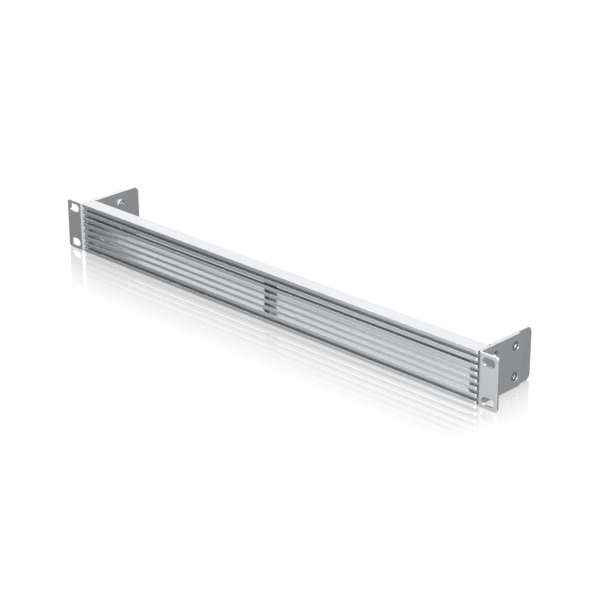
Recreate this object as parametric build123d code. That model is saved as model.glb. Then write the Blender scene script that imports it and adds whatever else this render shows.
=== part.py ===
"""Vented blanking panel, one unit high, for a 19-inch equipment rack.

Frame: +X to the right seen from the front, +Y into the rack, +Z up.
The origin is the centre of the rack hole pattern, on the plane where the
ears meet the rack rails. All lengths are millimetres.
"""
import os

from build123d import *

# Rack interface
rack_width = 482.6
rail_hole_inset = 8.75
rail_hole_rise = 31.75
rail_slot_length = 12.0
rail_slot_height = 7.0

# Angle brackets: a rack ear and a side plate folded from one sheet
ear_reach = 19.4
bracket_sheet = 2.0
bracket_height_allowance = 0.3
bracket_depth = 50.0
bracket_bend_radius = 1.5
ear_corner_radius = 2.5
ear_edge_radius = 0.25
plate_corner_radius = 3.0

# Slatted face
body_height = 44.0
face_thickness = 4.0
slat_count = 8
slat_height = 2.93
slat_edge_radius = 0.3
slat_end_radius = 1.5
groove_depth = 3.4
closed_slots_each_side = 1

# Rear frame with its two windows
frame_depth = 9.8
end_bar_width = 7.3
centre_post_width = 5.3
centre_post_setback = 0.8
window_corner_radius = 3.0
frame_edge_radius = 0.4

# Side walls
wall_sheet = 2.0
wall_depth = 59.4
wall_corner_radius = 5.0
wall_relief_width = 1.2
wall_relief_depth = 1.5

# Screws, clinch nuts and plain holes
screw_end_margin = 7.8
screw_rise = 25.0
screw_diameter = 4.0
screw_head_diameter = 7.2
screw_head_rim = 0.1
screw_head_recess = 0.25
screw_length = 5.0
screw_hole_clearance = 0.3
head_seat_clearance = 0.1
thread_clearance = 0.1
nut_flange_diameter = 6.5
nut_flange_height = 2.0
nut_shank_diameter = 5.6
plain_hole_setback = 16.5
plain_hole_rise = 27.0
plain_hole_diameter = 5.8

# Faces and lengths that several pieces share
rail_hole_span = rack_width - 2 * rail_hole_inset
body_width = rack_width - 2 * ear_reach
bracket_height = body_height - bracket_height_allowance
ear_front = -bracket_sheet
face_back = ear_front + face_thickness
frame_back = face_back + frame_depth
wall_back = face_back + wall_depth
body_side = body_width / 2
wall_inner = body_side - wall_sheet
plate_outer = body_side + bracket_sheet
plate_end = ear_front + bracket_depth
screw_setback = plate_end - screw_end_margin
slot_count = slat_count - 1
slot_height = (body_height - slat_count * slat_height) / slot_count
slat_pitch = slat_height + slot_height
window_half_height = body_height / 2 - (closed_slots_each_side + 1) * slat_height
window_half_height -= closed_slots_each_side * slot_height
window_outer = wall_inner - end_bar_width
window_inner = centre_post_width / 2
screw_hole_diameter = screw_diameter + screw_hole_clearance
head_cone_height = (screw_head_diameter - screw_diameter) / 2
head_face = plate_outer - screw_head_recess


def block(x_span, y_span, z_span):
    """Solid between two values on each axis."""
    size = [high - low for low, high in (x_span, y_span, z_span)]
    centre = [(high + low) / 2 for low, high in (x_span, y_span, z_span)]
    return Pos(*centre) * Box(*size)


def both_rises(rise):
    """Heights of a pair of holes, one above and one below the middle."""
    return (rise / 2, -rise / 2)


def across(diameter, near, far, setback, height):
    """Round bar along X from near to far."""
    bar = Rot(0, 90, 0) * Cylinder(diameter / 2, far - near)
    return Pos((near + far) / 2, setback, height) * bar


def slat():
    """One slat: a flat bar with rounded front corners and softened front edges."""
    bar = block((-body_side, body_side), (ear_front, face_back), (-slat_height / 2, slat_height / 2))
    front_corners = bar.edges().filter_by(Axis.Z).group_by(Axis.Y)[0]
    bar = fillet(front_corners, slat_end_radius)
    rims = front_rims(bar)
    return fillet(rims, slat_edge_radius)


def front_rims(bar):
    """Upper and lower edges of a slat that run round its front and its ends."""
    level = bar.edges().filter_by(lambda edge: abs(abs(edge.center().Z) - slat_height / 2) < 0.01)
    return level.filter_by(lambda edge: edge.center().Y < face_back - 0.01)


def slatted_face():
    """Eight slats joined by the floors of the closed grooves between them."""
    face = None
    for index in range(slat_count):
        height = body_height / 2 - slat_height / 2 - index * slat_pitch
        piece = Pos(0, 0, height) * slat()
        face = piece if face is None else face + piece
    groove_floor = (ear_front + groove_depth, face_back)
    overlap = slat_height / 2
    for index in range(slot_count):
        top = body_height / 2 - slat_height - index * slat_pitch
        rise = (top - slot_height - overlap, top + overlap)
        closed = index < closed_slots_each_side or index >= slot_count - closed_slots_each_side
        if closed:
            face += block((-body_side, body_side), groove_floor, rise)
        else:
            face += block((-body_side, -window_outer), groove_floor, rise)
            face += block((window_outer, body_side), groove_floor, rise)
    return face


def window(side):
    """Opening through the rear frame on one side of the centre post."""
    outline = RectangleRounded(window_outer - window_inner, 2 * window_half_height, window_corner_radius)
    middle = side * (window_outer + window_inner) / 2
    upright = Plane(origin=(middle, face_back, 0), x_dir=(1, 0, 0), z_dir=(0, 1, 0))
    return extrude(upright * outline, frame_depth)


def rear_frame():
    """Deep frame behind the slats, with a window each side of its centre post."""
    frame = block((-wall_inner, wall_inner), (face_back, frame_back), (-body_height / 2, body_height / 2))
    for side in (-1, 1):
        frame -= window(side)
    long_rear_edges = frame.edges().filter_by(Axis.X).group_by(Axis.Y)[-1]
    outer_rear_edges = long_rear_edges.filter_by(lambda edge: abs(edge.center().Z) > body_height / 2 - 0.01)
    frame = fillet(outer_rear_edges, frame_edge_radius)
    reach = window_inner + window_corner_radius
    setback = (face_back, face_back + centre_post_setback)
    frame -= block((-reach, reach), setback, (-window_half_height, window_half_height))
    return frame


def side_wall(side):
    """Side wall from the slatted face backwards, with corner reliefs behind the frame."""
    wall = block((wall_inner, body_side), (face_back, wall_back), (-body_height / 2, body_height / 2))
    rear_corners = wall.edges().filter_by(Axis.X).group_by(Axis.Y)[-1]
    wall = fillet(rear_corners, wall_corner_radius)
    for edge_height in (-body_height / 2, body_height / 2):
        relief = Box(wall_sheet, wall_relief_width, 2 * wall_relief_depth)
        wall -= Pos(body_side - wall_sheet / 2, frame_back + wall_relief_width / 2, edge_height) * relief
    for height in both_rises(screw_rise):
        wall -= across(nut_shank_diameter, wall_inner, body_side, screw_setback, height)
    for height in both_rises(plain_hole_rise):
        wall -= across(plain_hole_diameter, wall_inner, body_side, plain_hole_setback, height)
    return wall if side > 0 else mirror(wall, Plane.YZ)


def bracket_outline():
    """Section of the right-hand bracket seen from above: ear, bend and side plate."""
    ear_end = rack_width / 2
    corners = [
        (body_side, ear_front),
        (ear_end, ear_front),
        (ear_end, ear_front + bracket_sheet),
        (plate_outer, ear_front + bracket_sheet),
        (plate_outer, plate_end),
        (body_side, plate_end),
    ]
    outline = make_face(Polyline(*corners, close=True))
    outer_corner = outline.vertices().sort_by_distance(Vector(*corners[0]))[0]
    outline = fillet(outer_corner, bracket_bend_radius + bracket_sheet)
    inner_corner = outline.vertices().sort_by_distance(Vector(*corners[3]))[0]
    return fillet(inner_corner, bracket_bend_radius)


def rack_bracket(side):
    """Angle bracket with two rail slots in its ear and two countersunk holes in its plate."""
    bracket = Pos(0, 0, -bracket_height / 2) * extrude(bracket_outline(), bracket_height)
    ear_corners = bracket.edges().filter_by(Axis.Y).group_by(Axis.X)[-1]
    bracket = fillet(ear_corners, ear_corner_radius)
    plate_corners = bracket.edges().filter_by(Axis.X).group_by(Axis.Y)[-1]
    bracket = fillet(plate_corners, plate_corner_radius)
    ear_front_edges = bracket.edges().group_by(Axis.Y)[0]
    bracket = fillet(ear_front_edges, ear_edge_radius)
    for height in both_rises(rail_hole_rise):
        slot = SlotOverall(rail_slot_length, rail_slot_height)
        front = Plane(origin=(rail_hole_span / 2, ear_front, height), x_dir=(1, 0, 0), z_dir=(0, 1, 0))
        bracket -= extrude(front * slot, bracket_sheet)
    for height in both_rises(screw_rise):
        bracket -= across(screw_hole_diameter, body_side, plate_outer, screw_setback, height)
        bracket -= Pos(plate_outer, screw_setback, height) * countersink()
    for height in both_rises(plain_hole_rise):
        bracket -= across(plain_hole_diameter, body_side, plate_outer, plain_hole_setback, height)
    return bracket if side > 0 else mirror(bracket, Plane.YZ)


def head_profile(grown):
    """Half section of a countersunk head, its rim at the top, grown by a clearance."""
    rim = screw_head_diameter / 2 + grown
    neck = screw_diameter / 2 + grown
    depth = screw_head_rim + head_cone_height
    return [(0, 0), (rim, 0), (rim, -screw_head_rim), (neck, -depth), (0, -depth)]


def countersink():
    """Cutter for the seat of a sunk screw head, a cone that opens towards +X."""
    seat = [(x, z - screw_head_recess) for x, z in head_profile(head_seat_clearance)]
    mouth = seat[1][0] + screw_head_recess
    points = [(0, 0), (mouth, 0), *seat[1:]]
    section = make_face(Polyline(*[(x, 0, z) for x, z in points], close=True))
    return Rot(0, 90, 0) * revolve(section, Axis.Z)


def bracket_screw():
    """Countersunk screw along X, its head face at the origin and its shank towards -X."""
    points = head_profile(0)
    points[-1:] = [(screw_diameter / 2, -screw_length), (0, -screw_length)]
    section = make_face(Polyline(*[(x, 0, z) for x, z in points], close=True))
    return Rot(0, 90, 0) * revolve(section, Axis.Z)


def clinch_nut():
    """Clinch nut along X: a round flange inside the wall and a shank pressed through it."""
    flange_face = wall_inner - nut_flange_height
    nut = across(nut_flange_diameter, flange_face, wall_inner, 0, 0)
    nut += across(nut_shank_diameter, wall_inner, body_side, 0, 0)
    return nut - across(screw_diameter + 2 * thread_clearance, flange_face, body_side, 0, 0)


def pair(piece, side):
    """Two copies of a fastener at the upper and lower screw places of one side."""
    placed = [Pos(0, screw_setback, height) * piece for height in both_rises(screw_rise)]
    if side < 0:
        placed = [mirror(copy, Plane.YZ) for copy in placed]
    return Compound(children=placed)


def write(node, shape):
    """Write one named piece."""
    export_step(shape, f"parts/{node}.step")


os.makedirs("parts", exist_ok=True)
write("slatted_face", slatted_face())
write("rear_frame", rear_frame())
for side_name, side_sign in (("left", -1), ("right", 1)):
    write(f"{side_name}_side_wall", side_wall(side_sign))
    write(f"{side_name}_rack_bracket", rack_bracket(side_sign))
    write(f"{side_name}_bracket_screws", pair(Pos(head_face, 0, 0) * bracket_screw(), side_sign))
    write(f"{side_name}_clinch_nuts", pair(clinch_nut(), side_sign))
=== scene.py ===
"""Dressed model of a vented rack panel: satin metal finishes, screws, clinch nuts and a studio.

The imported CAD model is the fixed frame. Its sheet and bar pieces are shown as they are, with
procedural finishes; the screws and the clinch nuts are replaced by surfaces with a cross recess
and real threads. All lengths are metres, and MM is one millimetre.
"""
import math

import bpy
import numpy as np
from bpy.props import FloatProperty, FloatVectorProperty, IntProperty, PointerProperty
from bpy.types import Operator, Panel, PropertyGroup
from mathutils import Matrix, Vector


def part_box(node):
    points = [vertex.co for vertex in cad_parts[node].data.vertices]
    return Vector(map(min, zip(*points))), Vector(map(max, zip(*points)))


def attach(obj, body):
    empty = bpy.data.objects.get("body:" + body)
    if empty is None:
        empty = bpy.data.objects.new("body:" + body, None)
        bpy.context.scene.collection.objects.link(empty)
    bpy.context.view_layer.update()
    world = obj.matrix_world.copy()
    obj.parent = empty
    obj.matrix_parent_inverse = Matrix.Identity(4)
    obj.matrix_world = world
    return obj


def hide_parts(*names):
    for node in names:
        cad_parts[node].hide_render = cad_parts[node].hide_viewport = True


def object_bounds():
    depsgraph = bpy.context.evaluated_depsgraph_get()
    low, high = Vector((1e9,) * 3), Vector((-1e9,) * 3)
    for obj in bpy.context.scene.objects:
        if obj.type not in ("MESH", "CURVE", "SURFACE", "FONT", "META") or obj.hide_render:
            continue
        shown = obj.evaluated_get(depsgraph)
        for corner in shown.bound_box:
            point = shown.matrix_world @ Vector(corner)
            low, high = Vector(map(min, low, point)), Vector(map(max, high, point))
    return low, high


bl_info = {
    "name": "Vented rack panel",
    "version": (1, 0, 0),
    "blender": (4, 5, 0),
    "location": "3D View > Sidebar > Rack Panel",
    "description": "Dresses a vented 19-inch rack panel and sets up its studio",
    "category": "Object",
}

MM = 0.001

# Finishes: lumps in a metre of each noise, and how deep the bumps look
CLOUD_LUMPS = 14.0
GRAIN_LUMPS = 5200.0
BLOTCH_LUMPS = 900.0
TURNING_LUMPS = (26000.0, 2600.0, 2600.0)
SHEET_BUMP = 0.02 * MM
PLATE_BUMP = 0.01 * MM

# Lumps in a metre of the drawn lines on X, Y and Z, few along the lines
SLAT_LINES = (9.0, 2600.0, 2600.0)
RAIL_LINES = (7.0, 1900.0, 1900.0)
WALL_LINES = (2200.0, 12.0, 2200.0)
BRACKET_LINES = (2100.0, 2100.0, 14.0)
# Share of the colour that the painted shade inside the slots takes away
PAINTED_SLOT_SHADE = 0.25
# How many times glossier the side walls are than the other sheet
WALL_GLOSS = 3.6

# Where the painted shade inside the slots starts behind the fronts, and inside the top and bottom
PAINTED_SHADE_SETBACK = 0.5 * MM
PAINTED_SHADE_BLEND = 0.8 * MM
PAINTED_SHADE_MARGIN = 0.4 * MM

# Where the painted highlight on the fasteners starts below an end face and outside a radius
HIGHLIGHT_START = 0.06 * MM
HIGHLIGHT_BLEND = 0.10 * MM
HIGHLIGHT_SIDE_BLEND = 0.08 * MM
HIGHLIGHT_SIDE_MARGIN = 0.30 * MM

# Screws and nuts, as the CAD model has them
SCREW_SHANK_RADIUS = 2.0 * MM
SCREW_RIM_HEIGHT = 0.10 * MM
NUT_SHANK_RADIUS = 2.8 * MM
NUT_CREST_RADIUS = 2.03 * MM
NUT_FLANGE_HEIGHT = 2.0 * MM

# Turn of the cross recess of the upper and the lower screw
RECESS_TURNS = (math.radians(36), math.radians(22))

# Studio. Each lamp has a name, the setting of its power, a place, a target and its two sizes
FLOOR_REACH = 4.0
FLOOR_CELLS = 8
LAMPS = (
    ("top_lamp", "top_power", (-0.1, 0.15, 1.2), (0, 0, 0), (1.5, 1.2)),
    ("back_lamp", "back_power", (-0.83, 0.90, 0.68), (0, 0, 0), (1.7, 0.9)),
    ("front_lamp", "front_power", (0.3, -2.02, 0.87), (0, 0, 0), (2.4, 0.9)),
    ("edge_lamp", "edge_power", (1.75, -0.85, 0.85), (0, 0, 0), (1.3, 0.9)),
    ("side_lamp", "side_power", (0.45, 0.95, 1.15), (0.23, 0, 0), (0.45, 0.4)),
)

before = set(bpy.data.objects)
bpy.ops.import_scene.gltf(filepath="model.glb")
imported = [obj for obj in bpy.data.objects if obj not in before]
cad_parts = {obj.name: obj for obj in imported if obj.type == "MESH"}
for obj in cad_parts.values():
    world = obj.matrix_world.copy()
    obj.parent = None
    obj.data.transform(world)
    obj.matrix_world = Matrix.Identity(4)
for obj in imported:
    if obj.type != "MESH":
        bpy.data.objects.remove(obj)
cad_low, cad_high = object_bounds()
floor_level = cad_low.z


class Link:
    """One output of a shader node. Sums, products and powers of it add Math nodes."""

    def __init__(self, shader, socket):
        self.shader = shader
        self.socket = socket

    def math(self, operation, first, second=None):
        """Math node on one or two values."""
        inputs = {0: first}
        if second is not None:
            inputs[1] = second
        return self.shader.node("ShaderNodeMath", {"operation": operation}, inputs)

    def __add__(self, other):
        return self.math("ADD", self, other)

    def __radd__(self, other):
        return self.math("ADD", other, self)

    def __sub__(self, other):
        return self.math("SUBTRACT", self, other)

    def __rsub__(self, other):
        return self.math("SUBTRACT", other, self)

    def __mul__(self, other):
        return self.math("MULTIPLY", self, other)

    def __rmul__(self, other):
        return self.math("MULTIPLY", other, self)

    def __truediv__(self, other):
        return self.math("DIVIDE", self, other)

    def __pow__(self, other):
        return self.math("POWER", self, other)

    def __abs__(self):
        return self.math("ABSOLUTE", self)

    def at_least(self, other):
        """The larger of this and another value."""
        return self.math("MAXIMUM", self, other)

    def at_most(self, other):
        """The smaller of this and another value."""
        return self.math("MINIMUM", self, other)

    def clamped(self):
        """This value, held between 0 and 1."""
        return self.at_least(0.0).at_most(1.0)


class Shader:
    """Node tree of a material or a world, emptied, with one method that adds any node."""

    def __init__(self, tree):
        self.tree = tree
        tree.nodes.clear()

    def node(self, kind, settings=None, inputs=None, output=0):
        """A node with its settings made first, then its inputs, each a value or a link."""
        made = self.tree.nodes.new(kind)
        for name, value in (settings or {}).items():
            setattr(made, name, value)
        for name, value in (inputs or {}).items():
            if isinstance(value, Link):
                self.tree.links.new(value.socket, made.inputs[name])
            else:
                made.inputs[name].default_value = value
        return Link(self, made.outputs[output])

    def show(self, kind, surface):
        """Output node of a material or a world, with its surface."""
        made = self.tree.nodes.new(kind)
        self.tree.links.new(surface.socket, made.inputs["Surface"])

    def object_place(self):
        """Place on the piece in metres, as its mesh has it."""
        return self.node("ShaderNodeTexCoord", output="Object")

    def parts(self, place):
        """X, Y and Z of a place or a direction."""
        outputs = self.node("ShaderNodeSeparateXYZ", inputs={0: place}).socket.node.outputs
        return [Link(self, output) for output in outputs]

    def mixed(self, share, first, second):
        """The first surface, with the second one over it by that share."""
        return self.node("ShaderNodeMixShader", inputs={0: share, 1: first, 2: second})

    def stretched(self, place, scales):
        """A place with each axis scaled."""
        return self.node("ShaderNodeVectorMath", {"operation": "MULTIPLY"}, {0: place, 1: scales})

    def noise(self, place, scale, detail=2.0, roughness=0.5):
        """Noise from 0 to 1 with that many lumps in a metre."""
        inputs = {"Vector": place, "Scale": scale, "Detail": detail, "Roughness": roughness}
        return self.node("ShaderNodeTexNoise", inputs=inputs, output="Fac")

    def blend_colours(self, share, first, second):
        """Colour between two colours, by a share that is held between 0 and 1."""
        return self.colour_mix({"Factor": share.clamped(), "A": (*first, 1), "B": (*second, 1)})

    def with_painted_slot_shade(self, place, colour, strength):
        """The colour with painted shade, darker behind the slats' fronts and away from the top and the
        bottom.
        """
        low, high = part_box("slatted_face")
        y, z = self.parts(place)[1:]
        behind = ((y - (low.y + PAINTED_SHADE_SETBACK)) / PAINTED_SHADE_BLEND).clamped()
        within = ((high.z - PAINTED_SHADE_MARGIN - abs(z)) / PAINTED_SHADE_MARGIN).clamped()
        return self.colour_mix({"Factor": strength * behind * within, "A": colour, "B": (0, 0, 0, 1)})

    def colour_mix(self, inputs):
        """Mix node on colours, whose sockets are found by name among those of its type."""
        made = self.tree.nodes.new("ShaderNodeMix")
        made.data_type = "RGBA"
        sockets = {"Factor": made.inputs[0], "A": made.inputs[6], "B": made.inputs[7]}
        for name, value in inputs.items():
            if isinstance(value, Link):
                self.tree.links.new(value.socket, sockets[name])
            else:
                sockets[name].default_value = value
        return Link(self, made.outputs[2])


def new_material(name):
    """Material with an empty node tree, and the shader that fills it."""
    material = bpy.data.materials.new(name)
    material.use_nodes = True
    return material, Shader(material.node_tree)


def satin_metal(name, finish, run, lines, gloss=1.0, painted_slot_shade=0.0):
    """Silver metal with a fine blasted grain and faint drawing lines along one axis.

    run is the lines' lumps in a metre on each axis, few along the lines; lines is how strong
    they are, and gloss divides the roughness. The last argument is painted shade: it darkens
    the colour inside the slots, behind the slats' fronts and away from the panel's top and bottom.
    Colour and roughness = their settings, moved a little by three noises: a cloud of some
    centimetres, the lines, and a grain of about a fifth of a millimetre.
    """
    material, shader = new_material(name)
    place = shader.object_place()
    cloud = shader.noise(place, CLOUD_LUMPS, 3.0) - 0.5
    streak = shader.noise(shader.stretched(place, run), 1.0, 4.0, 0.6) - 0.5
    grain = shader.noise(place, GRAIN_LUMPS, 2.0, 0.6) - 0.5
    shade = 0.5 + 1.1 * cloud + 1.2 * lines * streak + 0.9 * grain
    colour = shader.blend_colours(shade, finish.shade_colour, finish.light_colour)
    # Painted shade: the colour is darkened inside the slots, where the slats shade the metal
    if painted_slot_shade:
        colour = shader.with_painted_slot_shade(place, colour, painted_slot_shade)
    roughness = finish.roughness / gloss + 0.05 * cloud + 0.06 * lines * streak + 0.08 * grain
    relief = grain + 0.8 * lines * streak
    bump = shader.node(
        "ShaderNodeBump",
        inputs={"Strength": finish.grain_strength, "Distance": SHEET_BUMP, "Height": relief},
    )
    surface = shader.node(
        "ShaderNodeBsdfPrincipled",
        inputs={
            "Base Color": colour,
            "Metallic": finish.metallic,
            "Roughness": roughness,
            "Normal": bump,
        },
    )
    shader.show("ShaderNodeOutputMaterial", surface)
    return material


def below_face(x, face_x, outward):
    """1 below a fastener's end face, which stands at face_x and looks outward (1) or inward (-1)."""
    return ((outward * (face_x - abs(x)) - HIGHLIGHT_START) / HIGHLIGHT_BLEND).clamped()


def outside_radius(y, z, axis_y, axis_z, radius):
    """1 beyond a radius from the axis of the upper or the lower fastener."""
    across = y - axis_y
    up = abs(z) - axis_z
    distance = (across * across + up * up) ** 0.5
    return ((distance - radius) / HIGHLIGHT_SIDE_BLEND).clamped()


def plated_steel(name, finish, painted_highlight_mask):
    """Zinc-plated steel: a cool metal with soft blotches and a fine turned grain.

    The mask given last turns the x, y and z of a place into 1 where the plating is painted
    lighter, a painted highlight, and 0 where it keeps its darker colour.
    """
    material, shader = new_material(name)
    place = shader.object_place()
    blotch = shader.noise(place, BLOTCH_LUMPS, 3.0, 0.55) - 0.5
    turning = shader.noise(shader.stretched(place, TURNING_LUMPS), 1.0, 3.0) - 0.5
    shade = 0.5 + 1.3 * blotch + 0.7 * turning
    colour = shader.blend_colours(shade, finish.shade_colour, finish.light_colour)
    # Painted highlight: below the end face the plating takes a light colour and its own metallic
    painted_highlight = painted_highlight_mask(*shader.parts(place))
    colour = shader.colour_mix({"Factor": painted_highlight, "A": colour, "B": (*finish.highlight_colour, 1)})
    metallic = finish.metallic + painted_highlight * (finish.highlight_metallic - finish.metallic)
    roughness = finish.roughness + 0.10 * blotch + 0.10 * turning
    bump = shader.node(
        "ShaderNodeBump",
        inputs={"Strength": finish.grain_strength, "Distance": PLATE_BUMP, "Height": turning + blotch},
    )
    surface = shader.node(
        "ShaderNodeBsdfPrincipled",
        inputs={
            "Base Color": colour,
            "Metallic": metallic,
            "Roughness": roughness,
            "Normal": bump,
        },
    )
    shader.show("ShaderNodeOutputMaterial", surface)
    return material


def assign(piece, material):
    """Gives a piece one material in every slot."""
    if not piece.data.materials:
        piece.data.materials.append(material)
    for index in range(len(piece.data.materials)):
        piece.data.materials[index] = material


class FinishSettings(PropertyGroup):
    """Colours and gloss of one metal finish."""

    light_colour: FloatVectorProperty(
        name="Light colour",
        description="Colour of the metal at the light side of its variation",
        subtype="COLOR",
        size=3,
        min=0,
        max=1,
        default=(0.55, 0.56, 0.575),
    )
    shade_colour: FloatVectorProperty(
        name="Shade colour",
        description="Colour of the metal at the dark side of its variation",
        subtype="COLOR",
        size=3,
        min=0,
        max=1,
        default=(0.49, 0.50, 0.515),
    )
    metallic: FloatProperty(
        name="Metallic",
        description="Share of the light that the surface reflects as bare metal does",
        subtype="FACTOR",
        min=0,
        max=1,
        default=0.90,
    )
    roughness: FloatProperty(
        name="Roughness",
        description="How widely the surface scatters its reflections",
        subtype="FACTOR",
        min=0,
        max=1,
        default=0.29,
    )
    grain_strength: FloatProperty(
        name="Grain strength",
        description="How strongly the fine grain tilts the surface",
        subtype="FACTOR",
        min=0,
        max=1,
        default=0.25,
    )


class PlateSettings(PropertyGroup):
    """Colours and gloss of a plated fastener."""

    light_colour: FloatVectorProperty(
        name="Light colour",
        description="Colour of the plating at the light side of its variation",
        subtype="COLOR",
        size=3,
        min=0,
        max=1,
        default=(0.33, 0.335, 0.345),
    )
    shade_colour: FloatVectorProperty(
        name="Shade colour",
        description="Colour of the plating at the dark side of its variation",
        subtype="COLOR",
        size=3,
        min=0,
        max=1,
        default=(0.20, 0.205, 0.215),
    )
    # Painted highlight: a light colour that stands in for light on the fastener below its end face
    highlight_colour: FloatVectorProperty(
        name="Clean colour",
        description="Colour of the plating below the end face",
        subtype="COLOR",
        size=3,
        min=0,
        max=1,
        default=(0.90, 0.91, 0.92),
    )
    metallic: FloatProperty(
        name="Metallic",
        description="Share of the light that the end face reflects as bare metal does",
        subtype="FACTOR",
        min=0,
        max=1,
        default=0.95,
    )
    # Metallic share of the painted highlight
    highlight_metallic: FloatProperty(
        name="Clean metallic",
        description="The same share for the plating below the end face",
        subtype="FACTOR",
        min=0,
        max=1,
        default=0.95,
    )
    roughness: FloatProperty(
        name="Roughness",
        description="How widely the plating scatters its reflections",
        subtype="FACTOR",
        min=0,
        max=1,
        default=0.22,
    )
    grain_strength: FloatProperty(
        name="Grain strength",
        description="How strongly the turned grain tilts the surface",
        subtype="FACTOR",
        min=0,
        max=1,
        default=0.25,
    )


class ScrewSettings(PropertyGroup):
    """Sizes of the bracket screws that the CAD model leaves plain."""

    recess_reach: FloatProperty(
        name="Recess reach",
        description="From the middle of the head to the end of a recess arm",
        subtype="DISTANCE",
        unit="LENGTH",
        default=1.9 * MM,
    )
    recess_half_width: FloatProperty(
        name="Recess half width",
        description="Half the width of a recess arm at the head's face",
        subtype="DISTANCE",
        unit="LENGTH",
        default=0.42 * MM,
    )
    recess_depth: FloatProperty(
        name="Recess depth",
        description="Depth of the cross recess in its middle",
        subtype="DISTANCE",
        unit="LENGTH",
        default=0.8 * MM,
    )
    thread_pitch: FloatProperty(
        name="Thread pitch",
        description="Rise of the thread in one turn",
        subtype="DISTANCE",
        unit="LENGTH",
        default=0.7 * MM,
    )
    thread_height: FloatProperty(
        name="Thread height",
        description="From the root to the crest of the thread",
        subtype="DISTANCE",
        unit="LENGTH",
        default=0.36 * MM,
    )
    steps_round: IntProperty(
        name="Steps round",
        description="Faces round a screw or a nut",
        min=24,
        max=256,
        default=144,
    )


class StageSettings(PropertyGroup):
    """Camera, lamps and floor."""

    azimuth: FloatProperty(
        name="Azimuth",
        description="How far the camera stands to the right of straight ahead",
        subtype="ANGLE",
        unit="ROTATION",
        default=math.radians(44.206),
    )
    elevation: FloatProperty(
        name="Elevation",
        description="Angle of the camera above the horizon",
        subtype="ANGLE",
        unit="ROTATION",
        default=math.radians(23.118),
    )
    roll: FloatProperty(
        name="Roll",
        description="Turn of the camera about its line of sight",
        subtype="ANGLE",
        unit="ROTATION",
        default=math.radians(-0.196),
    )
    camera_place: FloatVectorProperty(
        name="Camera place",
        description="Where the camera stands",
        subtype="XYZ",
        unit="LENGTH",
        size=3,
        default=(1.0494, -1.0377, 0.6260),
    )
    lens: FloatProperty(
        name="Lens",
        description="Focal length of the camera in millimetres",
        subtype="DISTANCE_CAMERA",
        default=119.84,
    )
    top_power: FloatProperty(
        name="Top lamp",
        description="Power of the soft lamp above the panel in watts",
        min=0,
        default=5.0,
    )
    back_power: FloatProperty(
        name="Back lamp",
        description="Power of the wide lamp behind the left end, which the upper faces reflect, in watts",
        min=0,
        default=4.05,
    )
    front_power: FloatProperty(
        name="Front lamp",
        description="Power of the wide soft lamp in front of the panel in watts",
        min=0,
        default=52.0,
    )
    edge_power: FloatProperty(
        name="Edge lamp",
        description="Power of the lamp in front of the right end, which bends and rims reflect, in watts",
        min=0,
        default=26.0,
    )
    side_power: FloatProperty(
        name="Side lamp",
        description="Power of the small lamp above and behind the right end in watts",
        min=0,
        default=3.6,
    )
    mirror_share: FloatProperty(
        name="Floor mirror",
        description="Share of the floor's light that is a reflection, right beside the panel",
        subtype="FACTOR",
        min=0,
        max=1,
        default=0.44,
    )
    mirror_fade: FloatProperty(
        name="Mirror fade",
        description="Distance from the panel at which the floor stops reflecting",
        subtype="DISTANCE",
        unit="LENGTH",
        default=0.065,
    )


class RackPanelSettings(PropertyGroup):
    """All settings of the dressed panel."""

    metal: PointerProperty(type=FinishSettings)
    steel: PointerProperty(type=PlateSettings)
    nut: PointerProperty(type=PlateSettings)
    screw: PointerProperty(type=ScrewSettings)
    stage: PointerProperty(type=StageSettings)


def mesh_from_grids(name, grids):
    """One mesh object from closed grids of points.

    Each grid is an array of rows by steps by 3, in metres, closed round its steps. wrap says
    whether its last row joins its first, as round a ring; otherwise a point closes each end.
    """
    points = []
    quads = []
    triangles = []
    start = 0
    for grid, wrap in grids:
        rows, steps = grid.shape[:2]
        points.append(grid.reshape(-1, 3))
        row = np.arange(rows if wrap else rows - 1)[:, None]
        step = np.arange(steps)[None, :]
        here = row * steps + step
        beside = row * steps + (step + 1) % steps
        above = (row + 1) % rows * steps + step
        across = (row + 1) % rows * steps + (step + 1) % steps
        quads.append(np.stack([here, beside, across, above], -1).reshape(-1, 4) + start)
        start += rows * steps
        if not wrap:
            ring = np.arange(steps) + start - rows * steps
            following = np.roll(ring, -1)
            last = (rows - 1) * steps
            points += [grid[0].mean(0)[None], grid[-1].mean(0)[None]]
            triangles.append(np.stack([following, ring, np.full(steps, start)], -1))
            triangles.append(np.stack([ring + last, following + last, np.full(steps, start + 1)], -1))
            start += 2
    places = np.concatenate(points)
    quads = np.concatenate(quads)
    triangles = np.concatenate(triangles) if triangles else np.zeros((0, 3), int)
    mesh = bpy.data.meshes.new(name)
    mesh.vertices.add(len(places))
    mesh.vertices.foreach_set("co", places.astype(np.float32).ravel())
    loops = np.concatenate([quads.ravel(), triangles.ravel()])
    quad_starts = np.arange(len(quads)) * 4
    triangle_starts = len(quads) * 4 + np.arange(len(triangles)) * 3
    starts = np.concatenate([quad_starts, triangle_starts])
    mesh.loops.add(len(loops))
    mesh.loops.foreach_set("vertex_index", loops.astype(np.int32))
    mesh.polygons.add(len(starts))
    mesh.polygons.foreach_set("loop_start", starts.astype(np.int32))
    mesh.polygons.foreach_set("use_smooth", np.ones(len(starts), bool))
    mesh.update(calc_edges=True)
    mesh.validate()
    made = bpy.data.objects.new(name, mesh)
    bpy.context.scene.collection.objects.link(made)
    return made


def triangle_wave(turns):
    """Rises from 0 to 1 and falls back to 0 in each whole turn."""
    return 1 - abs(2 * (turns % 1) - 1)


def eased(value):
    """Smooth step from 0 to 1."""
    clipped = np.clip(value, 0, 1)
    return clipped * clipped * (3 - 2 * clipped)


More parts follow.
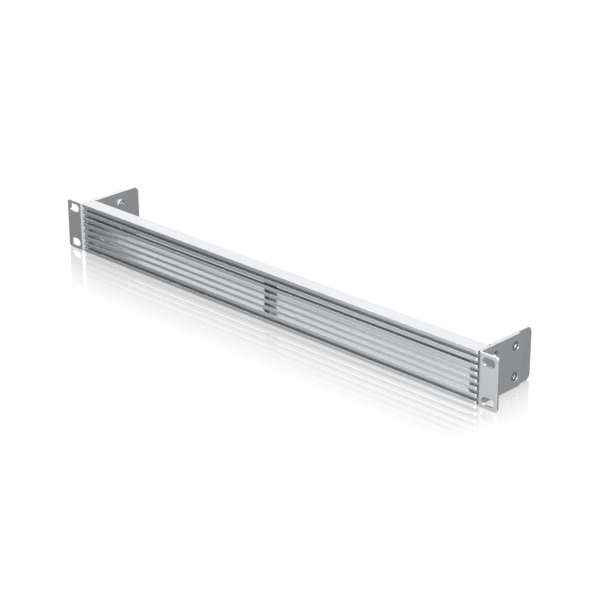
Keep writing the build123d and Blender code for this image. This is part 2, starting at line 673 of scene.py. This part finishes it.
def cross_depth(radius, angle, screw):
    """Depth of the cross recess at a place on the head.

    It is the full depth times a straight wall, by the distance to the nearer arm's middle line,
    times a straight slope, by the distance along that line.
    """
    wall_share = 0.9
    slope_share = 0.6
    x = abs(radius * np.cos(angle))
    y = abs(radius * np.sin(angle))
    across_arm = np.minimum(x, y)
    along_arm = np.maximum(x, y)
    wall = (screw.recess_half_width - across_arm) / (wall_share * screw.recess_half_width)
    slope = (screw.recess_reach - along_arm) / (slope_share * screw.recess_reach)
    return screw.recess_depth * np.clip(wall, 0, 1) * np.clip(slope, 0, 1)


def screw_grid(screw, sizes, turn):
    """Countersunk screw along -X with its face at zero, as rows of (x, y, z) in metres.

    The row runs over the head's face, down the rim and the cone, along the thread and over
    the rounded tip. The face is sunk by the cross recess, and the thread's radius is the root
    plus its height times a triangle wave of (depth / pitch - angle / full turn), faded in
    below the head and out at the tip.
    """
    head, neck, rim, length = sizes
    face_rows = 44
    thread_rows = 72
    tip_closing = 0.9
    middle = 0.02 * MM
    bevel_reach = 0.12 * MM
    bevel_fall = 0.06 * MM
    margin = 0.05 * MM
    fade_in = 0.5 * MM
    fade_out = 0.45 * MM
    angle = np.linspace(0, 2 * math.pi, screw.steps_round, endpoint=False)[None, :]
    face = np.linspace(middle, head - bevel_reach, face_rows)[:, None]
    face_depth = cross_depth(face, angle + turn, screw)
    bevel = np.linspace(0, math.pi / 2, 5)[1:, None]
    bevel_radius = head - bevel_reach * (1 - np.sin(bevel))
    bevel_depth = bevel_fall * (1 - np.cos(bevel))
    cone = np.linspace(0, 1, 5)[:, None]
    cone_radius = head + (neck - head) * cone
    cone_depth = rim + (head - neck) * cone
    under_head = rim + head - neck
    depth = np.linspace(under_head + margin, length - margin, thread_rows)[:, None]
    wave = triangle_wave(depth / screw.thread_pitch - angle / (2 * math.pi))
    fade = eased((depth - under_head) / fade_in) * eased((length - depth) / fade_out)
    thread_radius = neck - screw.thread_height * (1 - wave * fade)
    tip = np.linspace(0, 1, 4)[1:, None]
    tip_radius = (neck - screw.thread_height) * (1 - tip_closing * tip)
    tip_depth = length - margin * (1 - tip)
    level = np.ones_like(angle)
    radius = [face * level, bevel_radius * level, cone_radius * level, thread_radius, tip_radius * level]
    depths = [face_depth, bevel_depth * level, cone_depth * level, depth * level, tip_depth * level]
    radius = np.concatenate(radius)
    depths = np.concatenate(depths)
    return np.stack([-depths, radius * np.cos(angle), radius * np.sin(angle)], -1)


def nut_grid(screw, sizes):
    """Clinch nut along X as a closed ring of rows, from the flange's free face at x = 0.

    The row runs up the threaded bore, out over the shank's end, back along the shank, out
    under the flange, over its rounded rim and in again to a chamfer at the bore. The bore's
    radius is its crest plus most of the thread height times a triangle wave of
    (depth / pitch - angle / full turn), faded out at both mouths.
    """
    flange, shank, bore, flange_height, length = sizes
    thread_rows = 56
    thread_share = 0.8
    mouth_depth = 0.32 * MM
    end_depth = 0.25 * MM
    fade_in = 0.3 * MM
    fade_out = 0.2 * MM
    fade_length = 0.3 * MM
    end_chamfer = 0.2 * MM
    shank_chamfer = 0.1 * MM
    flange_chamfer = 0.05 * MM
    edge = 0.14 * MM
    mouth_face = 0.22 * MM
    mouth_wall = 0.16 * MM
    angle = np.linspace(0, 2 * math.pi, screw.steps_round, endpoint=False)[None, :]
    level = np.ones_like(angle)
    depth = np.linspace(mouth_depth, length - end_depth, thread_rows)[:, None]
    wave = triangle_wave(depth / screw.thread_pitch - angle / (2 * math.pi))
    fade = eased((depth - fade_in) / fade_length) * eased((length - fade_out - depth) / fade_length)
    bore_radius = bore + thread_share * screw.thread_height * wave * fade
    corner = np.linspace(0, math.pi / 2, 6)[:, None]
    outline = [
        (length, bore + end_chamfer),
        (length, shank - shank_chamfer),
        (length - shank_chamfer, shank),
        (flange_height, shank),
        (flange_height, flange - flange_chamfer),
        (flange_height - flange_chamfer, flange),
    ]
    places = [np.array([[x, r]]) for x, r in outline]
    rounded = np.concatenate([edge * (1 - np.sin(corner)), flange - edge * (1 - np.cos(corner))], 1)
    mouth = np.array([[0.0, bore + mouth_face], [flange_chamfer, bore + mouth_wall]])
    profile = np.concatenate([*places, rounded, mouth])
    xs = np.concatenate([depth * level, profile[:, :1] * level])
    radii = np.concatenate([bore_radius, profile[:, 1:] * level])
    return np.stack([xs, radii * np.cos(angle), radii * np.sin(angle)], -1)


def node_pair(node):
    """Heights and setbacks of a node's two fasteners, its X span and the fasteners' radius."""
    low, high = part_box(node)
    radius = (high.y - low.y) / 2
    setback = (low.y + high.y) / 2
    return [(high.z - radius, setback), (low.z + radius, setback)], low.x, high.x, radius


def mirrored(grid, side):
    """The grid for that side: on the left X is turned round, and the rows run the other way."""
    if side > 0:
        return grid
    turned = grid * np.array([-1.0, 1.0, 1.0])
    return turned[:, ::-1]


def moved(grid, x, y, z):
    """The grid moved to a place."""
    return grid + np.array([x, y, z])


def fasteners(name, node, grids, finish):
    """One piece from the grids, which replaces a fastener node and carries its finish."""
    made = mesh_from_grids(name, grids)
    assign(made, finish)
    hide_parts(node)
    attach(made, "root")


class RACKPANEL_OT_slatted_face(Operator):
    """Give the slatted face its satin finish, with drawing lines along the slats and painted shade in the
    slots
    """

    bl_idname = "rackpanel.slatted_face"
    bl_label = "Dress the slatted face"

    def execute(self, context):
        settings = context.scene.rack_panel
        finish = satin_metal("slat_satin_silver", settings.metal, SLAT_LINES, 0.7, painted_slot_shade=PAINTED_SLOT_SHADE)
        assign(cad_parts["slatted_face"], finish)
        return {"FINISHED"}


class RACKPANEL_OT_rear_frame(Operator):
    """Give the rear frame its satin finish, with drawing lines along the rails and painted shade away from
    the top and bottom
    """

    bl_idname = "rackpanel.rear_frame"
    bl_label = "Dress the rear frame"

    def execute(self, context):
        settings = context.scene.rack_panel
        finish = satin_metal("rail_satin_silver", settings.metal, RAIL_LINES, 0.6, painted_slot_shade=PAINTED_SLOT_SHADE)
        assign(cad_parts["rear_frame"], finish)
        return {"FINISHED"}


class RACKPANEL_OT_side_walls(Operator):
    """Give both side walls their satin sheet finish"""

    bl_idname = "rackpanel.side_walls"
    bl_label = "Dress the side walls"

    def execute(self, context):
        settings = context.scene.rack_panel
        finish = satin_metal("wall_satin_silver", settings.metal, WALL_LINES, 0.4, WALL_GLOSS)
        for side in ("left", "right"):
            assign(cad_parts[f"{side}_side_wall"], finish)
        return {"FINISHED"}


class RACKPANEL_OT_rack_brackets(Operator):
    """Give both rack brackets their satin sheet finish, rolled upwards"""

    bl_idname = "rackpanel.rack_brackets"
    bl_label = "Dress the rack brackets"

    def execute(self, context):
        settings = context.scene.rack_panel
        finish = satin_metal("bracket_satin_silver", settings.metal, BRACKET_LINES, 0.35)
        for side in ("left", "right"):
            assign(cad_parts[f"{side}_rack_bracket"], finish)
        return {"FINISHED"}


class RACKPANEL_OT_bracket_screws(Operator):
    """Build the countersunk bracket screws with their cross recess and thread"""

    bl_idname = "rackpanel.bracket_screws"
    bl_label = "Build the bracket screws"

    def execute(self, context):
        settings = context.scene.rack_panel
        outer_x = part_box("right_bracket_screws")[1].x
        # Painted highlight on the cone and the thread below each head's face
        finish = plated_steel("screw_zinc_plate", settings.steel, lambda x, y, z: below_face(x, outer_x, 1))
        for name, side in (("left", -1), ("right", 1)):
            node = f"{name}_bracket_screws"
            places, low_x, high_x, head = node_pair(node)
            sizes = (head, SCREW_SHANK_RADIUS, SCREW_RIM_HEIGHT, high_x - low_x)
            face_x = high_x if side > 0 else low_x
            grids = []
            for (height, setback), turn in zip(places, RECESS_TURNS):
                grid = mirrored(screw_grid(settings.screw, sizes, turn), side)
                grids.append((moved(grid, face_x, setback, height), False))
            fasteners(f"{name}_cross_recess_screws", node, grids, finish)
        return {"FINISHED"}


class RACKPANEL_OT_clinch_nuts(Operator):
    """Build the clinch nuts with their rounded flange and threaded bore"""

    bl_idname = "rackpanel.clinch_nuts"
    bl_label = "Build the clinch nuts"

    def execute(self, context):
        settings = context.scene.rack_panel
        places, inner_x, _, flange = node_pair("right_clinch_nuts")
        axis_z, axis_y = places[0]
        side_radius = flange - HIGHLIGHT_SIDE_MARGIN
        # Painted highlight on the rim of each flange, below the end face
        finish = plated_steel(
            "nut_zinc_plate",
            settings.nut,
            lambda x, y, z: below_face(x, inner_x, -1) * outside_radius(y, z, axis_y, axis_z, side_radius),
        )
        for name, side in (("left", -1), ("right", 1)):
            node = f"{name}_clinch_nuts"
            places, low_x, high_x, flange = node_pair(node)
            sizes = (flange, NUT_SHANK_RADIUS, NUT_CREST_RADIUS, NUT_FLANGE_HEIGHT, high_x - low_x)
            face_x = low_x if side > 0 else high_x
            grids = []
            for height, setback in places:
                grid = mirrored(nut_grid(settings.screw, sizes), side)
                grids.append((moved(grid, face_x, setback, height), True))
            fasteners(f"{name}_threaded_clinch_nuts", node, grids, finish)
        return {"FINISHED"}


def seen_directly(shader, names=("Is Camera Ray", "Is Glossy Ray", "Is Transmission Ray")):
    """1 for rays from the camera, off glossy surfaces and through clear ones, otherwise 0."""
    outputs = shader.node("ShaderNodeLightPath").socket.node.outputs
    total = Link(shader, outputs[names[0]])
    for name in names[1:]:
        total = total.at_least(Link(shader, outputs[name]))
    return total


def floor_white(shader, stage, x, y, shadow):
    """The floor as the camera sees it: white, with a mirror image of the panel that fades.

    The distance from the panel's footprint is the length of how far the place lies outside
    it on X, stretched, and on Y. The mirror's share falls from its full value there to nothing
    at the fade distance, and the rest is white, a little darker where the panel stands close, a
    painted contact shadow. Between the side walls a painted shadow takes its share away.
    """
    end_stretch = 1.7
    fade_power = 1.25
    contact_shadow_reach = 8.0 * MM
    contact_shadow_level = 0.86
    mirror_roughness = 0.05
    half_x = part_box("slatted_face")[1].x
    middle_y = (cad_high.y + cad_low.y) / 2
    half_y = (cad_high.y - cad_low.y) / 2
    outside_x = end_stretch * (abs(x) - half_x).at_least(0.0)
    outside_y = (abs(y - middle_y) - half_y).at_least(0.0)
    distance = (outside_x * outside_x + outside_y * outside_y) ** 0.5
    near = (1.0 - distance / stage.mirror_fade).at_least(0.0)
    share = stage.mirror_share * near ** fade_power
    # Painted contact shadow: ambient occlusion darkens the white where the panel stands close
    closeness = shader.node(
        "ShaderNodeAmbientOcclusion",
        {"samples": 8},
        {"Distance": contact_shadow_reach},
        output="AO",
    )
    level = contact_shadow_level + (1.0 - contact_shadow_level) * closeness
    white = shader.node("ShaderNodeEmission", inputs={"Color": level})
    mirror = shader.node("ShaderNodeBsdfGlossy", inputs={"Roughness": mirror_roughness})
    black = shader.node("ShaderNodeEmission", inputs={"Strength": 0.0})
    return shader.mixed(shadow, shader.mixed(share, white, mirror), black), mirror


def floor_glow(shader, x, y, shadow, mirror):
    """The floor as polished pieces reflect it.

    Ahead of the panel it grows lighter from left to right and away from the panel, and behind
    it has one level, less the shadow. A small share mirrors the lamps, in first reflections.
    """
    soft_edge = 4.0 * MM
    gradient_start = -0.25
    gradient_length = 0.42
    gradient_power = 1.4
    left_level = 0.41
    level_rise = 0.655
    behind_level = 0.44
    near_share = 0.84
    lift_length = 0.10
    mirrored_share = 0.15
    along = ((x - gradient_start) / gradient_length).clamped()
    ahead = ((soft_edge - y) / (2 * soft_edge)).clamped()
    lift = near_share + (1.0 - near_share) * ((0.0 - y) / lift_length).clamped()
    front_level = (left_level + level_rise * along ** gradient_power) * lift
    back_level = behind_level * (1.0 - shadow)
    level = back_level + ahead * (front_level - back_level)
    glow = shader.node("ShaderNodeEmission", inputs={"Color": level})
    ray_depth = shader.node("ShaderNodeLightPath", output="Ray Depth")
    return shader.mixed(mirrored_share * (2.0 - ray_depth).clamped(), glow, mirror)


def bay_shadow(x, y):
    """Painted shadow: share of the light that the floor between the side walls loses, more to the right."""
    soft_edge = 4.0 * MM
    left_level = 0.62
    level_fall = 0.20
    half_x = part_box("slatted_face")[1].x
    inner_x = -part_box("left_side_wall")[1].x
    inside_x = ((inner_x - abs(x)) / soft_edge).clamped()
    inside_y = ((cad_high.y + soft_edge - y) / (2 * soft_edge)).clamped() * (y / (2 * soft_edge)).clamped()
    level = left_level - level_fall * (x + half_x) / (2 * half_x)
    return inside_x * inside_y * (1.0 - level)


def floor_material(stage):
    """Pale floor, which the camera, polished pieces and matt pieces each see in their own way."""
    material, shader = new_material("studio_floor")
    x, y = shader.parts(shader.object_place())[:2]
    shadow = bay_shadow(x, y)
    white, mirror = floor_white(shader, stage, x, y, shadow)
    glow = floor_glow(shader, x, y, shadow, mirror)
    seen = shader.mixed(seen_directly(shader, ("Is Camera Ray",)), glow, white)
    dark_grey = (0.1, 0.1, 0.1, 1)
    matt = shader.node("ShaderNodeBsdfDiffuse", inputs={"Color": dark_grey})
    shader.show("ShaderNodeOutputMaterial", shader.mixed(seen_directly(shader), matt, seen))
    return material


def studio_world():
    """World that is white to the camera and gives matt pieces no light.

    In reflections it has one pale level, but near the horizon ahead on the left it is darker,
    and high above there it is brighter.
    """
    pale_level = 0.8
    dark_drop = 0.68
    bright_rise = 4.0
    world = bpy.data.worlds.new("studio_world")
    world.use_nodes = True
    shader = Shader(world.node_tree)
    x, y, z = shader.parts(shader.node("ShaderNodeTexCoord", output="Generated"))
    ahead = (0.2 - 1.5 * y).clamped()
    leftward = (0.3 - 1.2 * x).clamped()
    overhead = ((z - 0.45) / 0.15).clamped()
    corner = ahead * leftward
    mirrored_level = pale_level - dark_drop * corner * (1.0 - overhead) + bright_rise * corner * overhead
    camera_ray = seen_directly(shader, ("Is Camera Ray",))
    strength = camera_ray + (1.0 - camera_ray) * mirrored_level * seen_directly(shader)
    light = shader.node("ShaderNodeBackground", inputs={"Color": (1, 1, 1, 1), "Strength": strength})
    shader.show("ShaderNodeOutputWorld", light)
    bpy.context.scene.world = world


def soft_lamp(name, place, target, size, power):
    """Rectangular lamp that shines from a place towards a target, unseen by the camera."""
    lamp = bpy.data.lights.new(name, "AREA")
    lamp.shape = "RECTANGLE"
    lamp.size, lamp.size_y = size
    lamp.energy = power
    holder = bpy.data.objects.new(name, lamp)
    holder.location = place
    holder.rotation_euler = (Vector(target) - Vector(place)).to_track_quat("-Z", "Y").to_euler()
    holder.visible_camera = False
    bpy.context.scene.collection.objects.link(holder)


def studio_camera(stage):
    """Camera at its place, turned by azimuth, elevation and roll."""
    camera = bpy.data.cameras.new("studio_camera")
    camera.lens = stage.lens
    camera.sensor_width = 36.0
    holder = bpy.data.objects.new("studio_camera", camera)
    turn = Matrix.Rotation(stage.azimuth, 4, "Z")
    turn = turn @ Matrix.Rotation(math.pi / 2 - stage.elevation, 4, "X")
    turn = turn @ Matrix.Rotation(stage.roll, 4, "Z")
    holder.matrix_world = Matrix.Translation(stage.camera_place) @ turn
    bpy.context.scene.collection.objects.link(holder)
    bpy.context.scene.camera = holder


def studio_floor(stage):
    """Flat square of cells at the height of the panel's lower edge."""
    line = np.linspace(-FLOOR_REACH, FLOOR_REACH, FLOOR_CELLS + 1)
    x, y = np.meshgrid(line, line)
    places = np.stack([x, y, np.full_like(x, floor_level)], -1).reshape(-1, 3)
    row, step = np.meshgrid(np.arange(FLOOR_CELLS), np.arange(FLOOR_CELLS), indexing="ij")
    near = (row * (FLOOR_CELLS + 1) + step).ravel()
    far = near + FLOOR_CELLS + 1
    faces = np.stack([near, near + 1, far + 1, far], -1)
    mesh = bpy.data.meshes.new("studio_floor")
    mesh.from_pydata(places.tolist(), [], faces.tolist())
    floor = bpy.data.objects.new("studio_floor", mesh)
    bpy.context.scene.collection.objects.link(floor)
    assign(floor, floor_material(stage))


class RACKPANEL_OT_stage(Operator):
    """Set up the camera, the pale floor, the lamps and the white surroundings"""

    bl_idname = "rackpanel.stage"
    bl_label = "Set up the studio"

    def execute(self, context):
        stage = context.scene.rack_panel.stage
        studio_camera(stage)
        studio_floor(stage)
        for name, power, place, target, size in LAMPS:
            soft_lamp(name, place, target, size, getattr(stage, power))
        studio_world()
        context.scene.view_settings.view_transform = "Standard"
        return {"FINISHED"}


class RACKPANEL_PT_panel(Panel):
    """Sidebar panel that lists the steps and the settings"""

    bl_idname = "RACKPANEL_PT_panel"
    bl_label = "Vented rack panel"
    bl_space_type = "VIEW_3D"
    bl_region_type = "UI"
    bl_category = "Rack Panel"

    def draw(self, context):
        settings = context.scene.rack_panel
        steps = self.layout.column(align=True)
        for step in STEPS:
            steps.operator(step.bl_idname)
        for group in (settings.metal, settings.steel, settings.nut, settings.screw, settings.stage):
            box = self.layout.box()
            for name in group.bl_rna.properties.keys():
                if name not in ("rna_type", "name"):
                    box.prop(group, name)


STEPS = (
    RACKPANEL_OT_slatted_face,
    RACKPANEL_OT_rear_frame,
    RACKPANEL_OT_side_walls,
    RACKPANEL_OT_rack_brackets,
    RACKPANEL_OT_bracket_screws,
    RACKPANEL_OT_clinch_nuts,
    RACKPANEL_OT_stage,
)
CLASSES = (
    FinishSettings,
    PlateSettings,
    ScrewSettings,
    StageSettings,
    RackPanelSettings,
    *STEPS,
    RACKPANEL_PT_panel,
)


def register():
    """Adds the classes and the scene's settings."""
    for item in CLASSES:
        bpy.utils.register_class(item)
    bpy.types.Scene.rack_panel = PointerProperty(type=RackPanelSettings)


def unregister():
    """Takes the settings and the classes away again."""
    del bpy.types.Scene.rack_panel
    for item in reversed(CLASSES):
        bpy.utils.unregister_class(item)


def set_nut_plate(nut):
    """Settings of the nuts' plating, a grey end face and a white flange that is a painted highlight."""
    nut.light_colour = (0.48, 0.485, 0.49)
    nut.shade_colour = (0.38, 0.385, 0.39)
    nut.highlight_colour = (0.95, 0.955, 0.96)
    nut.metallic = 0.9
    nut.highlight_metallic = 0.0


def main():
    """Registers the add-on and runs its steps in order."""
    register()
    set_nut_plate(bpy.context.scene.rack_panel.nut)
    for step in STEPS:
        group, name = step.bl_idname.split(".")
        getattr(getattr(bpy.ops, group), name)()


if __name__ == "__main__":
    main()
